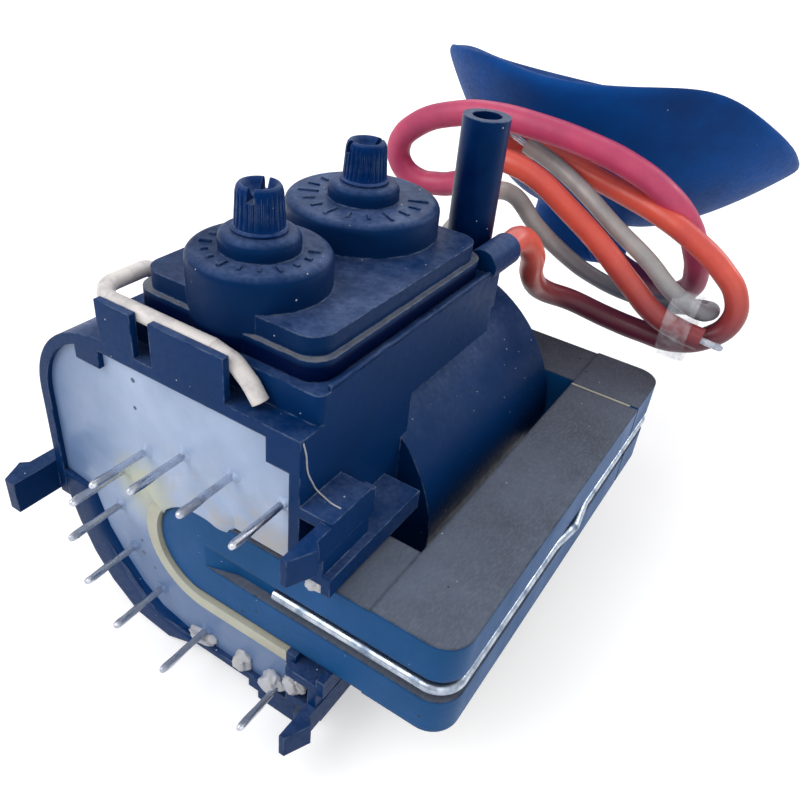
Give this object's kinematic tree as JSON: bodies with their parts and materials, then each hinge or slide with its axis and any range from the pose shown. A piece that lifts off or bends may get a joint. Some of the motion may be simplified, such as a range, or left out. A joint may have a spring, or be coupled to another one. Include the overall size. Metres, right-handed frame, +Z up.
{
  "type": "flyback transformer",
  "caption": "Flyback transformer with a potted coil housing, ferrite loop with wire clip, solder pins, focus and screen adjusters, high-voltage leads and an anode cap.",
  "frame": {"origin": "middle of the underside of the transformer without its free leads and anode cap", "axes": "+Y along the coil axis away from the pins, +Z up along the adjusters, +X towards the square leg of the core"},
  "size_m": [0.0834, 0.1764, 0.0755],
  "materials": {
    "black_plastic": "moulded, satin",
    "cover_plastic": "moulded, satin",
    "knob_plastic": "moulded, splined",
    "sleeve_plastic": "smooth, satin",
    "resin": "cast, slightly wavy",
    "cream_plastic": "moulded, satin",
    "copper_wire": "enamelled",
    "diode_body": "moulded",
    "ferrite": "ground, with small pits",
    "spacer_film": "film",
    "spring_steel": "drawn wire",
    "tinned_wire": "solder-dipped",
    "ceramic": "fired",
    "contact_metal": "sprung sheet",
    "white_wire": "smooth sheath",
    "crimson_sheath": "smooth silicone",
    "red_sheath": "smooth sheath",
    "grey_sheath": "smooth sheath",
    "clear_tape": "clear film",
    "cap_rubber": "matt, dusty"
  },
  "bodies": {
    "transformer": {"case": "black_plastic", "potting_resin": "resin", "primary_bobbin": "cream_plastic", "primary_winding": "copper_wire", "hv_bobbin": "cream_plastic", "hv_winding": "copper_wire", "hv_diode_1": "diode_body", "hv_diode_2": "diode_body", "hv_diode_3": "diode_body", "core_front": "ferrite", "core_rear": "ferrite", "spacer_round": "spacer_film", "spacer_square": "spacer_film", "core_clip": "spring_steel", "focus_cover": "cover_plastic", "resistor_plate": "ceramic", "ground_lead": "white_wire", "outlet_sleeve": "sleeve_plastic", "anode_lead": "crimson_sheath", "focus_lead": "red_sheath", "screen_lead": "grey_sheath", "lead_tie": "clear_tape", "anode_cap": "cap_rubber", "anode_clip": "spring_steel", "pin_01": "tinned_wire", "pin_02": "tinned_wire", "pin_03": "tinned_wire", "pin_04": "tinned_wire", "pin_05": "tinned_wire", "pin_06": "tinned_wire", "pin_07": "tinned_wire", "pin_08": "tinned_wire", "pin_09": "tinned_wire", "pin_10": "tinned_wire"},
    "screen_adjuster": {"screen_knob": "knob_plastic", "screen_wiper": "contact_metal"},
    "focus_adjuster": {"focus_knob": "knob_plastic", "focus_wiper": "contact_metal"}
  },
  "joints": [
    {"name": "screen_turn", "type": "hinge", "parent": "transformer", "child": "screen_adjuster", "pos_m": [-0.00352, -0.02167, 0.0674], "axis": [0, 0, 1], "range_deg": [-120, 120]},
    {"name": "focus_turn", "type": "hinge", "parent": "transformer", "child": "focus_adjuster", "pos_m": [-0.00422, 0.00083, 0.0674], "axis": [0, 0, 1], "range_deg": [-120, 120]}
  ]
}
